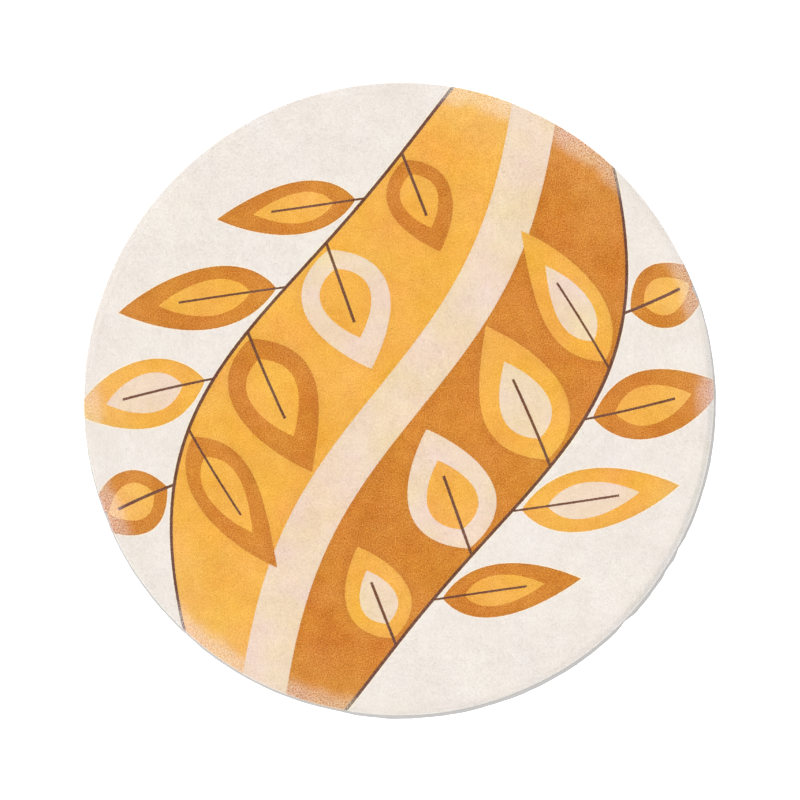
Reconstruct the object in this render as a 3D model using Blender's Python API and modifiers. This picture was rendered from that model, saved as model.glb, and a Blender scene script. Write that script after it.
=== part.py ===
"""A round play rug of short plush, lying flat on the floor.

Two pieces make it: a disc of plush whose pile rolls over at the rim, and the disc of grey
felt that it is bonded to. The felt was cut a little off centre, so its edge peeps out along
one side of the rug and stays hidden along the other. Metres, +Z up, with the origin on the
floor at the middle of the rug. Bearings are degrees from +X towards +Y.
"""

import math

import bmesh
import bpy

RUG_RADIUS = 0.600
FELT_THICKNESS = 0.002
PLUSH_THICKNESS = 0.009
LAYER_GAP = 0.0003

# The plush's rim in section: the roll runs from the level pile out to the widest point,
# and the pile tucks under again down to the foot that is bonded to the felt.
ROLL_WIDTH = 0.012
BULGE_HEIGHT = 0.0032
FOOT_INSET = 0.0040
ROLL_STEPS = 6
TUCK_STEPS = 3

# How far the felt sits off the plush's centre, and which way.
FELT_SLIP = 0.0066
SLIP_BEARING = -77.0
FELT_RADIUS = RUG_RADIUS + 0.0013

PLUSH_SIDES = 120
FELT_SIDES = 300
RING_STEP = 0.056

# How far out of round the plush was cut, and how far in from the edge that shows.
WOBBLE_REACH = 0.080
RIM_WOBBLES = (
    {"cycles": 2, "depth": 0.0014, "phase": 289.0},
    {"cycles": 3, "depth": 0.0006, "phase": 224.0},
    {"cycles": 4, "depth": 0.0003, "phase": 133.0},
    {"cycles": 11, "depth": 0.00025, "phase": 310.0},
    {"cycles": 19, "depth": 0.00015, "phase": 130.0},
)

# Low swells of a rug that was rolled up before it was laid out.
PILE_SWELLS = (
    {"bearing": 12.0, "length": 0.62, "height": 0.00030, "phase": 40.0},
    {"bearing": 74.0, "length": 0.41, "height": 0.00022, "phase": 210.0},
    {"bearing": 131.0, "length": 0.29, "height": 0.00016, "phase": 95.0},
)

# Places where the felt was trimmed short, the last of them a long shallow one.
FELT_NICKS = (
    {"bearing": -27.5, "depth": 0.0029, "half_width": 1.9},
    {"bearing": -31.8, "depth": 0.0026, "half_width": 1.9},
    {"bearing": -44.3, "depth": 0.0038, "half_width": 2.4},
    {"bearing": -102.5, "depth": 0.0015, "half_width": 5.0},
    {"bearing": -112.0, "depth": 0.0011, "half_width": 26.0},
)
FELT_WOBBLES = (
    {"cycles": 4, "depth": 0.0003, "phase": 60.0},
    {"cycles": 13, "depth": 0.00025, "phase": 200.0},
    {"cycles": 31, "depth": 0.00015, "phase": 15.0},
)

CREAM = (0.88, 0.81, 0.75)
FELT_GREY = (0.50, 0.50, 0.49)


def clear_scene():
    for found in list(bpy.data.objects):
        bpy.data.objects.remove(found, do_unlink=True)


def new_collection(name):
    collection = bpy.data.collections.new(name)
    bpy.context.scene.collection.children.link(collection)
    return collection


def cloth_material(name, colour, roughness):
    material = bpy.data.materials.new(name)
    material.use_nodes = True
    shader = material.node_tree.nodes["Principled BSDF"]
    shader.inputs["Base Color"].default_value = (*colour, 1.0)
    shader.inputs["Roughness"].default_value = roughness
    shader.inputs["Metallic"].default_value = 0.0
    return material


def add_object(name, mesh, material, collection):
    mesh.materials.clear()
    mesh.materials.append(material)
    made = bpy.data.objects.new(name, mesh)
    collection.objects.link(made)
    return made


def waves(rows, degrees):
    """The sum of the table's waves round the rim at a bearing."""
    return sum(
        row["depth"] * math.sin(math.radians(row["cycles"] * degrees + row["phase"]))
        for row in rows
    )


def ease(share):
    """0 below 0, 1 above 1, and smooth between."""
    share = min(1.0, max(0.0, share))
    return share * share * (3.0 - 2.0 * share)


def swell(x, y):
    """Height of the low swells at a place on the rug."""
    height = 0.0
    for row in PILE_SWELLS:
        bearing = math.radians(row["bearing"])
        along = x * math.cos(bearing) + y * math.sin(bearing)
        height += row["height"] * math.sin(
            math.tau * along / row["length"] + math.radians(row["phase"])
        )
    return height


def plush_section():
    """The plush's half section as (radius, height), from its top middle out and under."""
    level_edge = RUG_RADIUS - ROLL_WIDTH
    ring_count = round(level_edge / RING_STEP)
    section = [
        (level_edge * step / ring_count, PLUSH_THICKNESS) for step in range(ring_count)
    ]
    crown = PLUSH_THICKNESS - BULGE_HEIGHT
    for step in range(ROLL_STEPS + 1):
        turn = math.pi / 2 * step / ROLL_STEPS
        section.append(
            (
                level_edge + ROLL_WIDTH * math.sin(turn),
                BULGE_HEIGHT + crown * math.cos(turn),
            )
        )
    foot = RUG_RADIUS - FOOT_INSET
    for step in range(1, TUCK_STEPS + 1):
        turn = math.pi / 2 * step / TUCK_STEPS
        section.append(
            (foot + FOOT_INSET * math.cos(turn), BULGE_HEIGHT * (1.0 - math.sin(turn)))
        )
    section.append((0.0, 0.0))
    return section


def turned_mesh(name, section, sides):
    """A closed solid made by turning a half section about Z."""
    profile = bpy.data.meshes.new(name + "_section")
    points = [(radius, 0.0, height) for radius, height in section]
    profile.from_pydata(points, [(i, i + 1) for i in range(len(points) - 1)], [])
    lathe = bpy.data.objects.new(name + "_lathe", profile)
    bpy.context.scene.collection.objects.link(lathe)
    screw = lathe.modifiers.new("turn", "SCREW")
    screw.axis = "Z"
    screw.angle = math.tau
    screw.steps = sides
    screw.render_steps = sides
    screw.use_merge_vertices = True
    screw.merge_threshold = 0.00005
    bpy.context.view_layer.update()
    turned = bpy.data.meshes.new_from_object(
        lathe.evaluated_get(bpy.context.evaluated_depsgraph_get())
    )
    turned.name = name
    bpy.data.objects.remove(lathe, do_unlink=True)
    return turned


def settle_plush(mesh):
    """Cuts the plush out of round and lets its pile lie in low swells. Its foot stays level."""
    for vertex in mesh.vertices:
        x, y, z = vertex.co
        radius = math.hypot(x, y)
        height_share = z / PLUSH_THICKNESS
        vertex.co.z = z + swell(x, y) * height_share
        if radius > 0.0:
            reach = ease(1.0 - (RUG_RADIUS - radius) / WOBBLE_REACH)
            out = waves(RIM_WOBBLES, math.degrees(math.atan2(y, x))) * reach
            vertex.co.x = x * (radius + out) / radius
            vertex.co.y = y * (radius + out) / radius


def build_plush(material, collection):
    mesh = turned_mesh("plush", plush_section(), PLUSH_SIDES)
    settle_plush(mesh)
    plush = add_object("plush", mesh, material, collection)
    mesh.shade_smooth()
    mesh.set_sharp_from_angle(angle=math.radians(50.0))
    return plush


def felt_reach(degrees):
    """The felt's radius at a bearing, nicks included."""
    radius = FELT_RADIUS + waves(FELT_WOBBLES, degrees)
    for nick in FELT_NICKS:
        away = abs((degrees - nick["bearing"] + 180.0) % 360.0 - 180.0)
        radius -= nick["depth"] * ease(1.0 - away / nick["half_width"])
    return radius


def build_felt(material, collection):
    shape = bmesh.new()
    bmesh.ops.create_cone(
        shape,
        cap_ends=True,
        segments=FELT_SIDES,
        radius1=FELT_RADIUS,
        radius2=FELT_RADIUS,
        depth=FELT_THICKNESS,
    )
    for vertex in shape.verts:
        angle = math.atan2(vertex.co.y, vertex.co.x)
        radius = felt_reach(math.degrees(angle))
        vertex.co.x = radius * math.cos(angle)
        vertex.co.y = radius * math.sin(angle)
        vertex.co.z += FELT_THICKNESS / 2
    mesh = bpy.data.meshes.new("felt")
    shape.to_mesh(mesh)
    shape.free()
    return add_object("felt", mesh, material, collection)


def settle_over_origin(pieces):
    """Moves the pieces together until the middle of their box is over the origin."""
    places = [piece.location + vertex.co for piece in pieces for vertex in piece.data.vertices]
    for axis in (0, 1):
        reach = [place[axis] for place in places]
        for piece in pieces:
            piece.location[axis] -= (min(reach) + max(reach)) / 2


def main():
    clear_scene()
    rug = new_collection("play_rug")
    middle = bpy.data.objects.new("rug_middle", None)
    rug.objects.link(middle)

    plush = build_plush(cloth_material("plush_cream", CREAM, 0.95), rug)
    felt = build_felt(cloth_material("felt_grey", FELT_GREY, 0.9), rug)

    bearing = math.radians(SLIP_BEARING)
    slip_x = FELT_SLIP / 2 * math.cos(bearing)
    slip_y = FELT_SLIP / 2 * math.sin(bearing)
    felt.location = (slip_x, slip_y, 0.0)
    plush.location = (-slip_x, -slip_y, FELT_THICKNESS + LAYER_GAP)
    settle_over_origin((plush, felt))
    for piece in (plush, felt):
        piece.parent = middle
    bpy.context.view_layer.update()


main()
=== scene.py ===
"""The looks of a round play rug: printed plush with a rolled rim, on a thin grey felt.

Metres, +Z up, with the floor at zero and +Y towards the top of the picture. Bearings are
degrees from +X towards +Y. The rug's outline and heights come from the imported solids, and
all that the print, the pile and the felt add is laid out from those.
"""

import math

import bmesh
import bpy
import numpy as np
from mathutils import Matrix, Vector


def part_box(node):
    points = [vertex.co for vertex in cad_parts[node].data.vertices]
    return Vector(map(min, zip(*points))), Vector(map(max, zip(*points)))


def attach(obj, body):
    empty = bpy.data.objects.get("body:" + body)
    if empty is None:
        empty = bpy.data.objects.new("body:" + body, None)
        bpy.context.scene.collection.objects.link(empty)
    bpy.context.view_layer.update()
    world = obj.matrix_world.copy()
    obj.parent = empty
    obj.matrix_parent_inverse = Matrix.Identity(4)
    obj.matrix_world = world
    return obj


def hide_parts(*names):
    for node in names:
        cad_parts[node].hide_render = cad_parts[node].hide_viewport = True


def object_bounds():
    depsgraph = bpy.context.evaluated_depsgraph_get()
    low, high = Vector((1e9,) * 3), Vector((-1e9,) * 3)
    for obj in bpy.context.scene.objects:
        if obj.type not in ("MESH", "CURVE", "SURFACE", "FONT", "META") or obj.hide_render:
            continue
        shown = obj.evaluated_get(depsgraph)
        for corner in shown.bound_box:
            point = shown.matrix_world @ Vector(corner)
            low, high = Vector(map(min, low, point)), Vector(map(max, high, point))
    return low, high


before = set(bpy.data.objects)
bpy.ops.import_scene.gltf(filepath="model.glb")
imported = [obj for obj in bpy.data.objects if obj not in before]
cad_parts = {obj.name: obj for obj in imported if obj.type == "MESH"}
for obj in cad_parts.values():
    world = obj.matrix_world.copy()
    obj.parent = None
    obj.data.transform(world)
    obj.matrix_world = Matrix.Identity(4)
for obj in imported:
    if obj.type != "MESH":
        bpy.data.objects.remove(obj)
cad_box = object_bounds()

# How the picture frames the rug, in the picture's own pixels.
PICTURE_WIDTH = 800
RUG_WIDTH_IN_PICTURE = 633
RUG_DROP_IN_PICTURE = 0.9
LENS_MM = 100.0
SENSOR_MM = 36.0

# Light and floor. Bearing, rise and spread are in degrees.
SKY_LIGHT = 1.03
KEY_BEARING = 150.0
KEY_RISE = 47.0
KEY_SPREAD = 55.0
KEY_LIGHT = 1.05
FLOOR_SIZE = 60.0
FLOOR_DROP = 0.0003
FLOOR_GLOW = 0.40
FLOOR_WHITE = (0.92, 0.92, 0.92, 1.0)

# The plush's backing cloth, which the tufts stand on, lies this far inside the solid's top
# and this far outside its rim.
TUFT_STAND = 0.0012
RIM_OVERHANG = 0.0004
CLOTH_CELLS = 220
BULGE_HEIGHT = 0.0032
FOOT_INSET = 0.0040
TUCK_STEPS = 3
FOOT_RINGS = (0.5, 0.0)

# The rolled rim's section: how far in from the rim, and the share of the crown left there.
ROLL_SECTION = (
    (0.0160, 1.000), (0.0140, 0.988), (0.0120, 0.945), (0.0100, 0.870), (0.0080, 0.775),
    (0.0060, 0.675), (0.0040, 0.585), (0.0025, 0.535), (0.0012, 0.430), (0.0004, 0.230),
    (0.0000, 0.000),
)

# The rim is painted grey with shade round this bearing, the side turned from the light,
# within these cosines of the turn away from it, and hardly so elsewhere.
RIM_SHADE_BEARING = -18.0
RIM_SHADE_FROM = 0.78
RIM_SHADE_FULL = 0.95
RIM_SHADE_ELSEWHERE = 0.15

# Round this bearing the felt shows, and the pile's outermost tips get a painted highlight
# against it.
FELT_SHOWS_BEARING = -77.0

# A shallow crease runs round the rug inside its rolled rim, and the cloth lies in low lumps.
CREASE_INSET = 0.0175
CREASE_WIDTH = 0.0040
CREASE_DEPTH = 0.0003
LUMPS = ((0.045, 0.00050), (0.014, 0.00030))
FULL_LUMPS_FROM = 0.8

# The pile's tufts. Of those tried on each square metre, the ones too close together drop out.
TUFT_RADIUS = 0.0018
TUFT_HEIGHT = 0.0014
TUFT_ROOT = 0.0008
TUFT_GAP = 0.00180
TUFTS_TRIED = 1200000.0
TUFT_SEED = 11
SMALLEST_TUFT = (0.85, 0.85, 0.75)
LARGEST_TUFT = (1.15, 1.15, 1.30)
CLUMP_SIZE = 0.0065
CLUMP_LEAN = 0.6
STRAY_LEAN = 0.30
LOWEST_TUFT_FACING = -0.30

# The felt's cut edge: ragged from side to side, and snipped in steps of several sides.
FELT_SIDES = 1080
FELT_EDGE_INSETS = (0.0, 0.008, 0.020)
FELT_INNER_RINGS = (0.7, 0.35, 0.0)
FELT_SEED = 5
FELT_RAGGED = 0.000204
FELT_SNIP = 8
FELT_SNIP_DEPTH = 0.00025
FELT_FUZZ = 0.0005

# Points of a node within this share of its radius make its rim. Points closer than the
# merging distance are one.
RIM_SHARE = 0.97
MERGE_DISTANCE = 0.00002

# The bake map: a round piece fills it to near its edges, and hidden faces lie in a corner.
MAP_HALF = 0.495
MAP_CORNER = 0.93
MAP_CORNER_SCALE = 0.09

# The print: an S-shaped field in two colours with a pale ribbon along its middle, edged by
# stems that carry leaves on both sides.
FIELD_BEARING = 66.0
FIELD_SWAY = 0.055
SWAY_LENGTH = 1.30
FIELD_HALF_WIDTH = 0.315
FIELD_BOW = 0.44
RIBBON_HALF_WIDTH = 0.045
LEAF_LEAN = 52.0
LEAF_SPACING = 0.215
LEAF_LENGTH = 0.300
OUTER_LEAF_SHARE = 0.90
LEAF_ASPECT = 0.50
LEAF_SKEW = 0.20
LEAF_STALK = 0.016
LEAF_FAR = 1.6
LEAF_SHORTENING = 1.873
LONGEST_LEAF_AT = -0.04
FIRST_LEAF = -4
HEART_SHARE = 0.58
HEART_DROP = 0.10
STEM_HALF_WIDTH = 0.0032
RIB_HALF_WIDTH = 0.0024
RIB_REACH = 0.22
PRINT_EDGE = 0.0005
PRINT_STRAY = 0.0009

# The leaves' dyes on the caramel side and then on the gold side, from the foot of the stem
# up. Leaves inside the field and outside it take turns.
LEAF_DYES = (
    "gold", "caramel", "peach", "gold", "gold", "caramel", "gold", "caramel",
    "caramel", "caramel", "peach", "caramel", "caramel", "gold", "caramel", "caramel",
)
HEART_DYES = {"gold": "peach", "caramel": "gold", "peach": "gold"}

# Base colours of the dyes and yarns and of the painted shade and highlight, in red, green
# and blue from 0 to 255.
DYES_AND_PAINTED_LIGHT = {
    "cream": (230, 223, 216),
    "caramel": (207, 134, 48),
    "gold": (233, 175, 76),
    "peach": (230, 209, 185),
    "brown": (120, 78, 58),
    "halo": (244, 232, 209),
    "faded": (238, 229, 193),
    # Painted shade in the crease.
    "crease_shade": (219, 212, 203),
    # A painted highlight on the pile's outermost tips.
    "tip_highlight_colour": (240, 237, 233),
    # Painted shade on the rolled rim.
    "rim": (217, 212, 207),
    "felt": (197, 195, 193),
}

# Sizes of the patches in which the plush's looks change.
FIBRE_SIZE = 0.0009
STRAY_SIZE = 0.0022
GRAIN_SIZE = 0.0026
SMUDGE_SIZE = 0.030
FADE_SIZE = 0.050
WARMTH_SIZE = 0.085
PATCH_SIZE = 0.105
CREASE_SHADE_SIZE = 0.30

# Distances from a dye's edge at which a line along it begins and is full: a pale line
# outside the dye, a darker one inside it, and one where two dyes meet.
HALO_REACH = (0.0034, 0.0004)
INK_EDGE_REACH = (-0.0034, -0.0006)
MEETING_REACH = (0.014, 0.001)
HALO_SHARE = 0.75

# Distances at which a look begins and is full: the crease's painted shade, from its middle,
# and from the rim the rim's painted shade, the tips' painted highlight and the worn border's.
CREASE_SHADE_REACH = (0.0062, 0.0008)
RIM_SHADE_REACH = (0.015, 0.005)
TIP_HIGHLIGHT_REACH = (0.0028, 0.0004)
WORN_REACH = (0.14, 0.04)

# The crease's painted shade comes and goes with a noise. The tips' painted highlight grows
# between these cosines of the turn away from where the felt shows.
CREASE_SHADE_NOISE = (0.45, 0.65)
TIP_HIGHLIGHT_TURN = (-0.1, 0.4)

# How strongly each shows, which on dyed pile is less for the painted shade in the crease and
# on the rim.
CREASE_SHADE_SHARE = 0.25
CREASE_SHADE_LESS_IF_DYED = 0.20
RIM_SHADE_SHARE = 0.90
RIM_SHADE_LESS_IF_DYED = 0.65
TIP_HIGHLIGHT_SHARE = 0.5

# How far from the rim the dark dyes fade, in how broad and how grainy a border, and how
# dark a dye is when it begins to fade and fades fully.
FADE_REACH = 0.032
FADE_BREADTH = 0.028
FADE_GRAIN = 0.060
FADING_DARKNESS = (0.065, 0.225)
SPECKLE_GAIN = 2.2
SPECKLE_BASE = 0.27

# How much grain, patches, smudges and edges lighten or darken the pile.
DEEPEST_GRAIN = 0.45
GRAIN_GAIN = 5.1
PATCH_GAIN = 0.78
SMUDGE_GAIN = 0.52
PATCH_SHADE = 0.10
SMUDGE_SHADE = 0.05
INK_EDGE_SHADE = 0.05
MEETING_SHADE = 0.12
RIM_GRAIN_SHADE = 0.5
DARKEST = (0.01, 0.01, 0.01)

# How the hue strays: where a dye has little blue in it, and at the worn border. The roots
# of the pile, which show between its tips, have a paler and cooler colour.
YELLOW_BLUE = (0.79, 0.20)
WORN_BLUE = (0.50, 0.20)
WARMTH_TINT = (0.05, 0.25, 1.10)
WORN_TINT = (0.02, 0.13, 0.75)
ROOT_GAMMA = 0.58
ROOT_TINT = (0.53, 0.90, 1.08)

# The felt's fibres and patches.
FELT_STRAY = (0.004, 0.003)
FELT_FIBRE_SIZE = 0.0012
FELT_PATCH_SIZE = 0.030
FELT_FIBRE_SHADE = 0.30
FELT_PATCH_SHADE = 0.10

# How each cloth scatters light. Roughness is the least of it and its swing with the fibres.
RELIEF_STRENGTH = 0.6
PLUSH_RELIEF = 0.0003
PLUSH_ROUGHNESS = (0.86, 0.10)
PLUSH_SHEEN = {"Sheen Weight": 0.12, "Sheen Roughness": 0.6, "Specular IOR Level": 0.15}
FELT_RELIEF = 0.0004
FELT_ROUGHNESS = (0.84, 0.12)
FELT_SHEEN = {"Sheen Weight": 0.08, "Sheen Roughness": 0.6, "Specular IOR Level": 0.12}

# The middle of a noise's colours.
MIDDLE = (0.5, 0.5, 0.5)


def dye(name):
    """A dye, yarn, painted shade or painted highlight as the linear light that shaders work in.
    """
    steps = [level / 255.0 for level in DYES_AND_PAINTED_LIGHT[name]]
    return tuple(
        step / 12.92 if step <= 0.04045 else ((step + 0.055) / 1.055) ** 2.4
        for step in steps
    )


class Wire:
    """An output in a node tree. Arithmetic on wires adds Math nodes to their tree."""

    def __init__(self, bench, socket):
        self.bench = bench
        self.socket = socket

    def output(self, name):
        """Another output of the same node."""
        outputs = self.socket.node.outputs
        return Wire(self.bench, next(s for s in outputs if s.enabled and s.name == name))

    def math(self, operation, *others):
        values = dict(enumerate((self, *others)))
        return self.bench.node("ShaderNodeMath", {"operation": operation}, values)

    def __add__(self, other):
        return self.math("ADD", other)

    __radd__ = __add__

    def __sub__(self, other):
        return self.math("SUBTRACT", other)

    def __rsub__(self, other):
        return self * -1.0 + other

    def __mul__(self, other):
        return self.math("MULTIPLY", other)

    __rmul__ = __mul__

    def __truediv__(self, other):
        return self.math("DIVIDE", other)

    def __abs__(self):
        return self.math("ABSOLUTE")

    def __gt__(self, other):
        return self.math("GREATER_THAN", other)

    def __lt__(self, other):
        return self.math("LESS_THAN", other)

    def at_least(self, other):
        return self.math("MAXIMUM", other)

    def at_most(self, other):
        return self.math("MINIMUM", other)

    def span(self, other):
        """The length of a level line whose two parts are these."""
        return (self * self + other * other).math("SQRT")

    def ease(self, start, end):
        """0 up to start, 1 from end on, and smooth between."""
        values = {"Value": self, "From Min": start, "From Max": end}
        settings = {"interpolation_type": "SMOOTHSTEP"}
        return self.bench.node("ShaderNodeMapRange", settings, values)


class Bench:
    """Adds nodes to one tree, of a material or of a geometry modifier."""

    def __init__(self, tree):
        self.tree = tree

    def node(self, kind, settings=None, values=None):
        """Adds a node, sets it up and fills its inputs. Returns its first output."""
        added = self.tree.nodes.new(kind)
        for name, setting in (settings or {}).items():
            if name == "stops":
                set_stops(added.color_ramp, setting)
            else:
                setattr(added, name, setting)
        inputs = [socket for socket in added.inputs if socket.enabled]
        for key, value in (values or {}).items():
            if isinstance(key, int):
                socket = inputs[key]
            else:
                socket = next(found for found in inputs if found.name == key)
            if isinstance(value, Wire):
                self.tree.links.new(value.socket, socket)
            else:
                socket.default_value = value
        outputs = [socket for socket in added.outputs if socket.enabled]
        return Wire(self, outputs[0]) if outputs else None

    def vector(self, operation, *vectors, **values):
        inputs = dict(enumerate(vectors)) | values
        return self.node("ShaderNodeVectorMath", {"operation": operation}, inputs)

    def part(self, vector, direction):
        """How far a vector goes in a direction."""
        return self.vector("DOT_PRODUCT", vector, direction).output("Value")

    def along(self, place, bearing):
        """How far a place lies along a level bearing."""
        turn = math.radians(bearing)
        return self.part(place, (math.cos(turn), math.sin(turn), 0.0))

    def mix(self, share, first, second):
        """A colour that goes from first to second as share goes from 0 to 1."""
        colours = [one if isinstance(one, Wire) else (*one, 1.0) for one in (first, second)]
        values = {"Factor": share, "A": colours[0], "B": colours[1]}
        return self.node("ShaderNodeMix", {"data_type": "RGBA"}, values)

    def darkness(self, colour):
        """How dark a colour is, from 0 for white to 1 for black, and little for pale ones."""
        lack = 1.0 - self.part(colour, (0.2126, 0.7152, 0.0722))
        return lack * lack

    def noise(self, place, size, detail=2.0, roughness=0.5):
        """Soft random unevenness with patches of about a size, from 0 to 1."""
        values = {
            "Vector": place,
            "Scale": 1.0 / size,
            "Detail": detail,
            "Roughness": roughness,
        }
        return self.node("ShaderNodeTexNoise", {}, values)

    def stray(self, place, size, reach):
        """A small random vector that changes from place to place."""
        random = self.noise(place, size).output("Color")
        centred = self.vector("SUBTRACT", random, MIDDLE)
        return self.vector("SCALE", centred, Scale=reach * 2.0)


def set_stops(ramp, stops):
    """Gives a ramp hard-edged stops, each a start and a colour."""
    ramp.interpolation = "CONSTANT"
    while len(ramp.elements) < len(stops):
        ramp.elements.new(1.0)
    for element, (start, colour) in zip(ramp.elements, stops, strict=True):
        element.position = start
        element.color = (*colour, 1.0)


def new_material(name):
    """A material that is still empty, and the bench to build it on."""
    material = bpy.data.materials.new(name)
    material.use_nodes = True
    material.node_tree.nodes.clear()
    return material, Bench(material.node_tree)


def finish_cloth(bench, colour, fibres, roughness, relief, sheen):
    """Closes a cloth's material with its colour, and its fibres' roughness and relief."""
    least, swing = roughness
    values = {"Strength": RELIEF_STRENGTH, "Distance": relief, "Height": fibres}
    normal = bench.node("ShaderNodeBump", {}, values)
    values = {"Base Color": colour, "Roughness": fibres * swing + least, "Normal": normal}
    shader = bench.node("ShaderNodeBsdfPrincipled", {}, values | sheen)
    bench.node("ShaderNodeOutputMaterial", {}, {"Surface": shader})


def middle_of(node):
    """The middle of a round node, on the floor."""
    low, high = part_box(node)
    return np.array([(low.x + high.x) / 2, (low.y + high.y) / 2])


def leaf_shape(across, along, aspect):
    """Distance to a pointed leaf of half length 1, negative inside, fuller towards its foot."""
    along = along.at_most(LEAF_FAR)
    skewed = along + (1.0 - along * along) * LEAF_SKEW
    arc = (1.0 + aspect**2) / (2.0 * aspect)
    return (abs(across) + (arc - aspect)).span(skewed) - arc


def dye_ramp(bench, pick, names):
    stops = [(index / len(names), dye(name)) for index, name in enumerate(names)]
    return bench.node("ShaderNodeValToRGB", {"stops": stops}, {0: pick})


def print_dyes(bench, place):
    """The printed colour at a place, how far the place is outside the nearest dye, and how
    far it is from the nearest edge between two dyes."""
    axis = bench.along(place, FIELD_BEARING)
    swayed = (axis * (math.tau / SWAY_LENGTH)).math("SINE") * FIELD_SWAY
    offset = bench.along(place, FIELD_BEARING - 90.0) - swayed
    half = offset.math("SIGN")
    up_stem = half * axis
    outside = abs(offset) - FIELD_HALF_WIDTH + up_stem * up_stem * FIELD_BOW
    from_stem = abs(outside)
    is_outer = outside > 0.0

    # The foot of the leaf that a place belongs to, and the place along and across that leaf.
    lean = math.radians(LEAF_LEAN)
    foot = up_stem - from_stem * (1.0 / math.tan(lean))
    shift = is_outer * (LEAF_SPACING / 2)
    number = ((foot - shift) / LEAF_SPACING).math("ROUND")
    root = number * LEAF_SPACING + shift
    over = foot - root
    across = over * math.sin(lean)
    along = from_stem * (1.0 / math.sin(lean)) + over * math.cos(lean)
    order = number * 2.0 + is_outer
    leaf_count = len(LEAF_DYES) // 2
    exists = (order > FIRST_LEAF - 0.5) * (order < FIRST_LEAF + leaf_count - 0.5)

    from_longest = root - LONGEST_LEAF_AT
    share = 1.0 - from_longest * from_longest * LEAF_SHORTENING
    half_length = share * (1.0 - is_outer * (1.0 - OUTER_LEAF_SHARE)) * (LEAF_LENGTH / 2)
    leaf_across = across / half_length
    leaf_along = (along - LEAF_STALK) / half_length - 1.0
    leaf = leaf_shape(leaf_across, leaf_along, LEAF_ASPECT) * half_length
    heart_across = leaf_across * (1.0 / HEART_SHARE)
    heart_along = (leaf_along + HEART_DROP) * (1.0 / HEART_SHARE)
    heart = leaf_shape(heart_across, heart_along, LEAF_ASPECT) * half_length
    rib = (abs(across) - RIB_HALF_WIDTH).at_least(leaf_along - RIB_REACH)
    stem = from_stem - STEM_HALF_WIDTH

    def inside(distance):
        return distance.ease(PRINT_EDGE, -PRINT_EDGE)

    pick = (order - FIRST_LEAF + 0.5 + (half < 0.0) * leaf_count) * (1.0 / len(LEAF_DYES))
    hearts = [HEART_DYES[name] for name in LEAF_DYES]
    field = bench.mix(inside(offset), dye("caramel"), dye("gold"))
    field = bench.mix(inside(abs(offset) - RIBBON_HALF_WIDTH), field, dye("peach"))
    colour = bench.mix(inside(outside), dye("cream"), field)
    colour = bench.mix(inside(leaf) * exists, colour, dye_ramp(bench, pick, LEAF_DYES))
    colour = bench.mix(inside(heart) * exists, colour, dye_ramp(bench, pick, hearts))
    colour = bench.mix(inside(rib) * exists, colour, dye("brown"))
    colour = bench.mix(inside(stem), colour, dye("brown"))
    leaf_if_any = leaf + (1.0 - exists)
    rib_if_any = rib + (1.0 - exists)
    from_dye = outside.at_most(leaf_if_any).at_most(rib_if_any).at_most(stem)
    from_ribbon = abs(abs(offset) - RIBBON_HALF_WIDTH)
    return colour, from_dye, from_ribbon.at_most(from_stem).at_most(abs(leaf_if_any))


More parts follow.
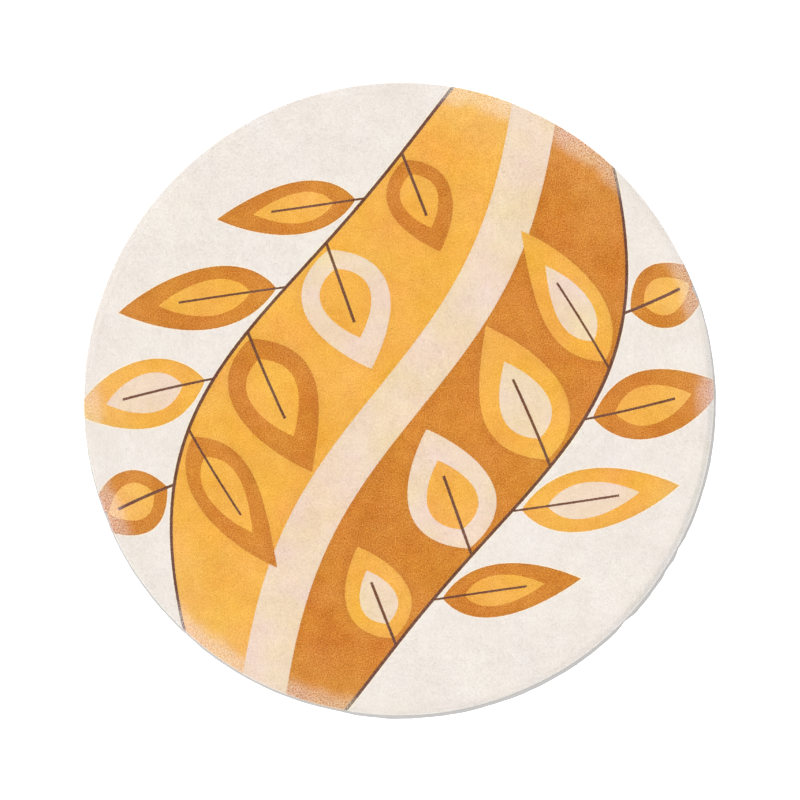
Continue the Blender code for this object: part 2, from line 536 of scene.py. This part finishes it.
def plush_material():
    """Short printed plush: dyes with strayed edges, fading at the rim, in uneven patches, with
    painted shade in the crease and on the rim and a painted highlight on the edge tips.
    """
    material, bench = new_material("printed_plush")
    coordinates = bench.node("ShaderNodeTexCoord").output("Object")
    flat = bench.vector("MULTIPLY", coordinates, (1.0, 1.0, 0.0))
    place = bench.vector("SUBTRACT", flat, (*middle_of("plush"), 0.0))
    strayed = bench.vector("ADD", place, bench.stray(place, STRAY_SIZE, PRINT_STRAY))
    printed, from_dye, from_edge = print_dyes(bench, strayed)
    grain = bench.noise(place, GRAIN_SIZE, detail=3.0, roughness=0.8) - 0.5

    # The plush was cut a little taller than wide.
    low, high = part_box("plush")
    half_width, half_height = (high.x - low.x) / 2, (high.y - low.y) / 2
    share_out = bench.vector("DIVIDE", place, (half_width, half_height, 1.0))
    share_out = bench.vector("LENGTH", share_out).output("Value")
    from_rim = (1.0 - share_out) * ((half_width + half_height) / 2)
    dyed = from_dye.ease(PRINT_EDGE, -PRINT_EDGE)

    # The pale line round a dye, and the dyes that fade at the rim.
    halo = from_dye.ease(*HALO_REACH) * (1.0 - dyed)
    colour = bench.mix(halo * HALO_SHARE, printed, dye("halo"))
    fade_reach = bench.noise(place, FADE_SIZE, detail=4.0) * FADE_REACH
    faded = (from_rim + grain * FADE_GRAIN).ease(fade_reach + FADE_BREADTH, fade_reach)
    faded = faded * dyed * bench.darkness(printed).ease(*FADING_DARKNESS)
    speckled = (grain * SPECKLE_GAIN + SPECKLE_BASE).at_least(0.0)
    colour = bench.mix(faded * speckled, colour, dye("faded"))

    # Painted shade in the crease and on the rim turned from the light, and a painted highlight
    # on the tips at the edge.
    crease_shade = abs(from_rim - CREASE_INSET).ease(*CREASE_SHADE_REACH)
    crease_shade = crease_shade * bench.noise(place, CREASE_SHADE_SIZE, detail=1.0).ease(*CREASE_SHADE_NOISE)
    crease_shade = crease_shade * (CREASE_SHADE_SHARE - dyed * CREASE_SHADE_LESS_IF_DYED)
    colour = bench.mix(crease_shade, colour, dye("crease_shade"))
    # Painted shade on the rolled rim, strongest on its side turned away from the light.
    rim = from_rim.ease(*RIM_SHADE_REACH)
    outward = bench.vector("NORMALIZE", place)
    rim_shade = bench.along(outward, RIM_SHADE_BEARING).ease(RIM_SHADE_FROM, RIM_SHADE_FULL)
    rim_shade = rim * rim_shade.at_least(RIM_SHADE_ELSEWHERE)
    rim_shade = rim_shade * (RIM_SHADE_SHARE - dyed * RIM_SHADE_LESS_IF_DYED)
    colour = bench.mix(rim_shade, colour, dye("rim"))
    # A painted highlight on the outermost tips where the felt shows.
    tip_highlight = bench.along(outward, FELT_SHOWS_BEARING).ease(*TIP_HIGHLIGHT_TURN)
    tip_highlight = from_rim.ease(*TIP_HIGHLIGHT_REACH) * tip_highlight
    colour = bench.mix(tip_highlight * TIP_HIGHLIGHT_SHARE, colour, dye("tip_highlight_colour"))

    # The darker a dye, the more its grain shows.
    depth = bench.darkness(colour).at_most(DEEPEST_GRAIN)
    blue = bench.part(colour, (0.0, 0.0, 1.0))
    yellow = blue.ease(*YELLOW_BLUE)
    worn = from_rim.ease(*WORN_REACH) * blue.ease(*WORN_BLUE) * (1.0 - depth)
    patch = bench.noise(place, PATCH_SIZE, detail=3.0, roughness=0.55) - 0.5
    smudge = bench.noise(place, SMUDGE_SIZE, detail=2.0) - 0.5
    ink_edge = from_dye.ease(*INK_EDGE_REACH) * dyed
    shade = 1.0 + patch * PATCH_SHADE + smudge * SMUDGE_SHADE - ink_edge * INK_EDGE_SHADE
    shade = shade - from_edge.ease(*MEETING_REACH) * depth * MEETING_SHADE
    shade = shade + grain * rim * RIM_GRAIN_SHADE
    paler = (grain * GRAIN_GAIN + patch * PATCH_GAIN + smudge * SMUDGE_GAIN) * depth
    warmth = bench.noise(place, WARMTH_SIZE, detail=2.0).output("Color")
    warmth = bench.vector("SUBTRACT", warmth, MIDDLE)
    warmth = bench.vector("SCALE", warmth, Scale=yellow)
    tint = bench.vector("MULTIPLY_ADD", warmth, WARMTH_TINT, (1.0, 1.0, 1.0))
    tint = bench.vector("ADD", tint, bench.vector("SCALE", WORN_TINT, Scale=worn))
    roots = bench.node("ShaderNodeGamma", {}, {"Color": colour, "Gamma": ROOT_GAMMA})
    roots = bench.vector("MULTIPLY", roots, ROOT_TINT)
    colour = bench.vector("MULTIPLY", colour, tint)
    colour = bench.vector("ADD", colour, bench.vector("SCALE", roots, Scale=paler))
    colour = bench.vector("SCALE", colour, Scale=shade)
    colour = bench.vector("MAXIMUM", colour, DARKEST)

    fibres = bench.noise(coordinates, FIBRE_SIZE, detail=1.0)
    finish_cloth(bench, colour, fibres, PLUSH_ROUGHNESS, PLUSH_RELIEF, PLUSH_SHEEN)
    return material


def felt_material():
    """Pressed grey felt: matted fibres in lighter and darker greys."""
    material, bench = new_material("pressed_felt")
    place = bench.node("ShaderNodeTexCoord").output("Object")
    strayed = bench.vector("ADD", place, bench.stray(place, *FELT_STRAY))
    fibres = bench.noise(strayed, FELT_FIBRE_SIZE, detail=3.0, roughness=0.7)
    patch = bench.noise(place, FELT_PATCH_SIZE, detail=2.0)
    shade = 1.0 + (fibres - 0.5) * FELT_FIBRE_SHADE + (patch - 0.5) * FELT_PATCH_SHADE
    colour = bench.vector("SCALE", dye("felt"), Scale=shade)
    finish_cloth(bench, colour, fibres, FELT_ROUGHNESS, FELT_RELIEF, FELT_SHEEN)
    return material


def rim_of(node):
    """How a round node was cut: its radius at bearings in order."""
    places = np.array([vertex.co[:2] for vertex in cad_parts[node].data.vertices])
    outward = places - middle_of(node)
    radius = np.hypot(outward[:, 0], outward[:, 1])
    bearing = np.round(np.degrees(np.arctan2(outward[:, 1], outward[:, 0])), 1)
    widest = {}
    for turn, reach in zip(bearing, radius, strict=True):
        if reach > radius.max() * RIM_SHARE:
            widest[turn] = max(reach, widest.get(turn, 0.0))
    turns = sorted(widest)
    return np.array(turns), np.array([widest[turn] for turn in turns])


def reach_of(node, bearing):
    """A round node's radius at each bearing, in radians."""
    turns, radii = rim_of(node)
    return np.interp(np.degrees(bearing), turns, radii, period=360.0)


def select_only(piece):
    bpy.ops.object.select_all(action="DESELECT")
    piece.select_set(True)
    bpy.context.view_layer.objects.active = piece


def apply_modifier(piece, kind, **settings):
    select_only(piece)
    modifier = piece.modifiers.new("step", kind)
    for name, value in settings.items():
        setattr(modifier, name, value)
    bpy.ops.object.modifier_apply(modifier=modifier.name)


def new_blank(name, operator, **shape):
    """A primitive, named and alone in the selection."""
    bpy.ops.object.select_all(action="DESELECT")
    operator(**shape)
    blank = bpy.context.object
    blank.name = blank.data.name = name
    return blank


def places_of(piece):
    places = np.empty(len(piece.data.vertices) * 3)
    piece.data.vertices.foreach_get("co", places)
    return places.reshape(-1, 3)


def move_points(piece, places):
    piece.data.vertices.foreach_set("co", places.ravel())
    piece.data.update()


def draw_down_edge(piece, steps):
    """Extrudes a flat piece's open edge, each ring a metre under the last. Returns the
    number of each point's ring, from 0 for the flat piece itself."""
    select_only(piece)
    bpy.ops.object.mode_set(mode="EDIT")
    bpy.ops.mesh.select_mode(type="EDGE")
    shape = bmesh.from_edit_mesh(piece.data)
    for edge in shape.edges:
        edge.select_set(len(edge.link_faces) < 2)
    bmesh.update_edit_mesh(piece.data)
    for _ in range(steps):
        bpy.ops.mesh.extrude_edges_move(TRANSFORM_OT_translate={"value": (0.0, 0.0, -1.0)})
    bpy.ops.object.mode_set(mode="OBJECT")
    return np.round(-places_of(piece)[:, 2]).astype(int)


def close_and_face_out(piece):
    """Merges the points that meet at the middle and turns all faces outwards."""
    select_only(piece)
    bpy.ops.object.mode_set(mode="EDIT")
    bpy.ops.mesh.select_all(action="SELECT")
    bpy.ops.mesh.remove_doubles(threshold=MERGE_DISTANCE)
    bpy.ops.mesh.normals_make_consistent(inside=False)
    bpy.ops.object.mode_set(mode="OBJECT")
    bpy.ops.object.shade_smooth()


def walk_over(rows, reach, crown):
    """The distance walked over a section's rows from the first, for a rim of one reach."""
    outs = [share * reach - inset for share, inset, _, _ in rows]
    heights = [rise + crown * crown_share for _, _, rise, crown_share in rows]
    return np.concatenate([[0.0], np.cumsum(np.hypot(np.diff(outs), np.diff(heights)))])


def add_bake_map(piece, flat, hidden=None):
    """Lays a piece out on its bake map. flat gives each point's place, from 0 to 1. A face
    of hidden points alone lies small in the map's corner."""
    mesh = piece.data
    corners = np.empty(len(mesh.loops), dtype=np.int32)
    mesh.loops.foreach_get("vertex_index", corners)
    layout = flat[corners]
    if hidden is not None:
        counts = np.empty(len(mesh.polygons), dtype=np.int32)
        mesh.polygons.foreach_get("loop_total", counts)
        face_of = np.repeat(np.arange(len(counts)), counts)
        hidden_corners = np.bincount(face_of, weights=hidden[corners])
        aside = (hidden_corners == counts)[face_of]
        hidden_places = places_of(piece)[corners[aside], :2]
        layout[aside] = MAP_CORNER + hidden_places * MAP_CORNER_SCALE
    bake_map = mesh.uv_layers.new(name="OFBake")
    bake_map.data.foreach_set("uv", layout.ravel())


def unrolled_map(bearing, walked):
    """A round piece's places on its bake map, for the distance walked out from its middle."""
    outward = np.stack([np.cos(bearing), np.sin(bearing)], axis=1)
    return 0.5 + outward * (walked * MAP_HALF / walked.max())[:, None]


def solid_top(node, x, y):
    """Height of a node's top over each place."""
    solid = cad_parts[node]
    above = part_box(node)[1].z + 1.0
    down = Vector((0.0, 0.0, -1.0))
    hits = [solid.ray_cast(Vector((*place, above)), down) for place in zip(x, y, strict=True)]
    return np.array([place.z for _, place, _, _ in hits])


def lay_out(piece, node, bearing, out, height):
    """Puts a round piece's points at bearings and distances from its node's middle."""
    middle = middle_of(node)
    x = middle[0] + out * np.cos(bearing)
    y = middle[1] + out * np.sin(bearing)
    move_points(piece, np.stack([x, y, height], axis=1))


def model_plush():
    """The plush's backing cloth: a disc that lies as the rug does, rolls over at its rim and
    tucks under."""
    low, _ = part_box("plush")
    middle = middle_of("plush")
    plush = new_blank(
        "plush_face",
        bpy.ops.mesh.primitive_grid_add,
        x_subdivisions=CLOTH_CELLS,
        y_subdivisions=CLOTH_CELLS,
        size=2.0,
    )

    # Rows of the rim's section: share of the reach, inset, rise and share of the crown.
    rows = [(1.0, inward, BULGE_HEIGHT, share) for inward, share in ROLL_SECTION]
    turns = np.linspace(0.0, math.pi / 2, TUCK_STEPS + 1)[1:]
    rows += [
        (1.0, FOOT_INSET * (1.0 - math.cos(turn)), BULGE_HEIGHT * (1.0 - math.sin(turn)), 0.0)
        for turn in turns
    ]
    rows += [(share, 0.0, 0.0, 0.0) for share in FOOT_RINGS]
    ring = draw_down_edge(plush, len(rows) - 1)

    # The square grid is drawn out into a disc of cells of equal area.
    x, y, _ = places_of(plush).T
    is_wide = np.abs(x) > np.abs(y)
    signed = np.where(is_wide, x, y)
    slope = np.where(is_wide, y, x) / np.where(signed == 0.0, 1.0, signed)
    turn = np.where(is_wide, slope, 2.0 - slope) * math.pi / 4
    bearing = np.arctan2(signed * np.sin(turn), signed * np.cos(turn))

    reach = reach_of("plush", bearing) + RIM_OVERHANG
    out = np.abs(signed) * (reach - ROLL_SECTION[0][0])
    top_x = middle[0] + out * np.cos(bearing)
    top_y = middle[1] + out * np.sin(bearing)
    top = solid_top("plush", top_x, top_y) - TUFT_STAND
    from_rim = reach - RIM_OVERHANG - out
    top -= np.exp(-(((from_rim - CREASE_INSET) / CREASE_WIDTH) ** 2)) * CREASE_DEPTH
    crown = top - low.z - BULGE_HEIGHT
    share, inward, rise, crown_share = np.array(rows)[ring].T
    walked = out + walk_over(rows, reach.mean(), crown.mean())[ring]
    out = np.where(ring == 0, out, share * reach - inward)
    height = np.where(ring == 0, top, low.z + rise + crown * crown_share)
    lay_out(plush, "plush", bearing, out, height)
    last_seen = len(rows) - len(FOOT_RINGS) - 1
    walked = np.minimum(walked, walked[ring <= last_seen].max())
    add_bake_map(plush, unrolled_map(bearing, walked), ring >= last_seen)
    close_and_face_out(plush)

    # Low lumps, which end on the way down the rolled rim.
    upper = plush.vertex_groups.new(name="upper")
    lift = (places_of(plush)[:, 2] - low.z - BULGE_HEIGHT) / (crown.min() * FULL_LUMPS_FROM)
    for index in np.nonzero(lift > 0.0)[0]:
        upper.add([int(index)], min(1.0, float(lift[index])), "REPLACE")
    for size, swing in LUMPS:
        lumps = bpy.data.textures.new("lumps", "CLOUDS")
        lumps.noise_scale = size
        apply_modifier(
            plush, "DISPLACE", texture=lumps, strength=swing * 2.0, direction="Z",
            vertex_group="upper",
        )
    plush.vertex_groups.clear()
    return plush


def pile_tree(name, plush, tuft, sides):
    """A geometry tree that stands tufts all over the plush's cloth and keeps one quarter."""
    tree = bpy.data.node_groups.new(name, "GeometryNodeTree")
    tree.interface.new_socket("Geometry", in_out="OUTPUT", socket_type="NodeSocketGeometry")
    bench = Bench(tree)

    def random_vector(low, high, seed):
        values = {"Min": low, "Max": high, "Seed": TUFT_SEED + seed}
        return bench.node("FunctionNodeRandomValue", {"data_type": "FLOAT_VECTOR"}, values)

    cloth = bench.node("GeometryNodeObjectInfo", {}, {"Object": plush}).output("Geometry")
    facing = bench.part(bench.node("GeometryNodeInputNormal"), (0.0, 0.0, 1.0))
    points = bench.node(
        "GeometryNodeDistributePointsOnFaces",
        {"distribute_method": "POISSON"},
        {
            "Mesh": cloth,
            "Selection": facing > LOWEST_TUFT_FACING,
            "Distance Min": TUFT_GAP,
            "Density Max": TUFTS_TRIED,
            "Seed": TUFT_SEED,
        },
    )
    position = bench.node("GeometryNodeInputPosition")
    place = bench.vector("SUBTRACT", position, (*middle_of("plush"), 0.0))
    right = bench.part(place, (sides[0], 0.0, 0.0))
    up = bench.part(place, (0.0, sides[1], 0.0))

    # Tufts lean together in clumps, and each a little its own way.
    clump = bench.stray(position, CLUMP_SIZE, CLUMP_LEAN / 2)
    own = random_vector((-STRAY_LEAN,) * 3, (STRAY_LEAN,) * 3, 1)
    lean = bench.vector("ADD", bench.vector("ADD", points.output("Normal"), clump), own)
    stand = bench.node("FunctionNodeAlignRotationToVector", {"axis": "Z"}, {"Vector": lean})
    spin = random_vector((0.0, 0.0, 0.0), (0.0, 0.0, math.tau), 2)
    values = {"Rotation": stand, "Rotate By": spin}
    turned = bench.node("FunctionNodeRotateRotation", {"rotation_space": "LOCAL"}, values)
    size = random_vector(SMALLEST_TUFT, LARGEST_TUFT, 3)
    values = {"Geometry": points, "Selection": (right > 0.0) * (up > 0.0)}
    quarter = bench.node("GeometryNodeSeparateGeometry", {"domain": "POINT"}, values)
    lock = bench.node("GeometryNodeObjectInfo", {}, {"Object": tuft}).output("Geometry")
    values = {"Points": quarter, "Instance": lock, "Rotation": turned, "Scale": size}
    standing = bench.node("GeometryNodeInstanceOnPoints", {}, values)
    pile = bench.node("GeometryNodeRealizeInstances", {}, {"Geometry": standing})
    bench.node("NodeGroupOutput", {}, {"Geometry": pile})
    return tree


def model_tuft():
    """One tuft: a three-sided lock of yarn whose root goes into the cloth."""
    depth = TUFT_HEIGHT + TUFT_ROOT
    tuft = new_blank(
        "tuft",
        bpy.ops.mesh.primitive_cone_add,
        vertices=3,
        radius1=TUFT_RADIUS,
        radius2=0.0,
        depth=depth,
    )
    bpy.ops.object.mode_set(mode="EDIT")
    bpy.ops.mesh.select_all(action="SELECT")
    bpy.ops.transform.translate(value=(0.0, 0.0, depth / 2 - TUFT_ROOT))
    bpy.ops.object.mode_set(mode="OBJECT")
    bpy.ops.object.shade_smooth()
    return tuft


def model_pile(plush):
    """The pile, in four quarters of the rug."""
    tuft = model_tuft()
    quarters = []
    for name, sides in (
        ("pile_upper_right", (1.0, 1.0)),
        ("pile_upper_left", (-1.0, 1.0)),
        ("pile_lower_left", (-1.0, -1.0)),
        ("pile_lower_right", (1.0, -1.0)),
    ):
        quarter = bpy.data.objects.new(name, tuft.data.copy())
        bpy.context.scene.collection.objects.link(quarter)
        apply_modifier(quarter, "NODES", node_group=pile_tree(name, plush, tuft, sides))
        places = places_of(quarter)[:, :2]
        spread = (places.max(axis=0) - places.min(axis=0)).max()
        add_bake_map(quarter, (places - places.min(axis=0)) / spread)
        quarters.append(quarter)
    bpy.data.objects.remove(tuft, do_unlink=True)
    return quarters


def model_felt():
    """The felt: a thin disc with a cut edge, as unevenly trimmed as the solid is."""
    low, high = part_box("felt")
    felt = new_blank(
        "felt_round", bpy.ops.mesh.primitive_circle_add, vertices=FELT_SIDES, radius=1.0
    )

    # Rows from the underside's middle out, up the cut edge and back in over the top.
    under = [(share, 0.0, 0.0, 0.0) for share in reversed(FELT_INNER_RINGS)]
    under += [(1.0, inset, 0.0, 0.0) for inset in reversed(FELT_EDGE_INSETS)]
    over = [(1.0, inset, 0.0, 1.0) for inset in FELT_EDGE_INSETS]
    over += [(share, 0.0, 0.0, 1.0) for share in FELT_INNER_RINGS]
    rows = [*under, (1.0, 0.0, 0.0, 0.5), *over]
    ring = draw_down_edge(felt, len(rows) - 1)
    x, y, _ = places_of(felt).T
    bearing = np.arctan2(y, x)
    reach = reach_of("felt", bearing)
    share, inward, _, level = np.array(rows)[ring].T
    is_edge = (share == 1.0) & (inward == 0.0)
    draws = np.random.default_rng(FELT_SEED)
    ragged = draws.normal(0.0, FELT_RAGGED, FELT_SIDES)
    ragged += np.repeat(draws.normal(0.0, FELT_SNIP_DEPTH, FELT_SIDES // FELT_SNIP), FELT_SNIP)
    ragged = (ragged + np.roll(ragged, 1) + np.roll(ragged, 2)) / 3
    side = np.round(bearing / math.tau * FELT_SIDES).astype(int) % FELT_SIDES
    out = share * reach - inward + np.where(is_edge, ragged[side] + FELT_FUZZ, 0.0)
    lay_out(felt, "felt", bearing, out, low.z + (high.z - low.z) * level)
    walked = walk_over(rows, reach.mean(), high.z - low.z)
    last_seen = len(rows) - len(FELT_INNER_RINGS) - 1
    flat = unrolled_map(bearing, np.minimum(walked, walked[last_seen])[ring])
    add_bake_map(felt, flat, ring >= last_seen)
    close_and_face_out(felt)
    return felt


def dress(piece, material):
    """Gives a piece its material and fixes it to the rug."""
    piece.data.materials.clear()
    piece.data.materials.append(material)
    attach(piece, "root")


def set_up_camera():
    """A camera straight above the rug, which fills as much of the picture as it does there."""
    low, high = cad_box
    view_width = (high.x - low.x) * PICTURE_WIDTH / RUG_WIDTH_IN_PICTURE
    lens = bpy.data.cameras.new("camera")
    lens.lens = LENS_MM
    lens.sensor_width = SENSOR_MM
    lens.clip_end = 1000.0
    camera = bpy.data.objects.new("camera", lens)
    distance = view_width * LENS_MM / SENSOR_MM
    rise = view_width * RUG_DROP_IN_PICTURE / PICTURE_WIDTH
    camera.location = ((low.x + high.x) / 2, (low.y + high.y) / 2 + rise, high.z + distance)
    bpy.context.scene.collection.objects.link(camera)
    bpy.context.scene.camera = camera


def set_up_studio():
    """A plain white floor and soft light, a little of it from the upper left."""
    scene = bpy.context.scene
    scene.view_settings.view_transform = "Standard"
    world = bpy.data.worlds.new("studio")
    world.use_nodes = True
    sky = world.node_tree.nodes["Background"]
    sky.inputs["Color"].default_value = (1.0, 1.0, 1.0, 1.0)
    sky.inputs["Strength"].default_value = SKY_LIGHT
    scene.world = world
    key = bpy.data.lights.new("key", "SUN")
    key.energy = KEY_LIGHT
    key.angle = math.radians(KEY_SPREAD)
    lamp = bpy.data.objects.new("key", key)
    tilt = math.radians(90.0 - KEY_RISE)
    lamp.rotation_euler = (0.0, tilt, math.radians(KEY_BEARING))
    scene.collection.objects.link(lamp)
    floor = new_blank("floor", bpy.ops.mesh.primitive_plane_add, size=FLOOR_SIZE)
    points = places_of(floor)
    points[:, 2] = -FLOOR_DROP
    move_points(floor, points)
    material, bench = new_material("white_floor")
    values = {
        "Base Color": FLOOR_WHITE,
        "Roughness": 0.9,
        "Specular IOR Level": 0.1,
        "Emission Color": FLOOR_WHITE,
        "Emission Strength": FLOOR_GLOW,
    }
    shader = bench.node("ShaderNodeBsdfPrincipled", {}, values)
    bench.node("ShaderNodeOutputMaterial", {}, {"Surface": shader})
    floor.data.materials.append(material)


set_up_camera()
set_up_studio()
printed_plush = plush_material()
plush_face = model_plush()
pile = model_pile(plush_face)
felt_round = model_felt()
dress(plush_face, printed_plush)
for quarter in pile:
    dress(quarter, printed_plush)
dress(felt_round, felt_material())
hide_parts("plush")
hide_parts("felt")
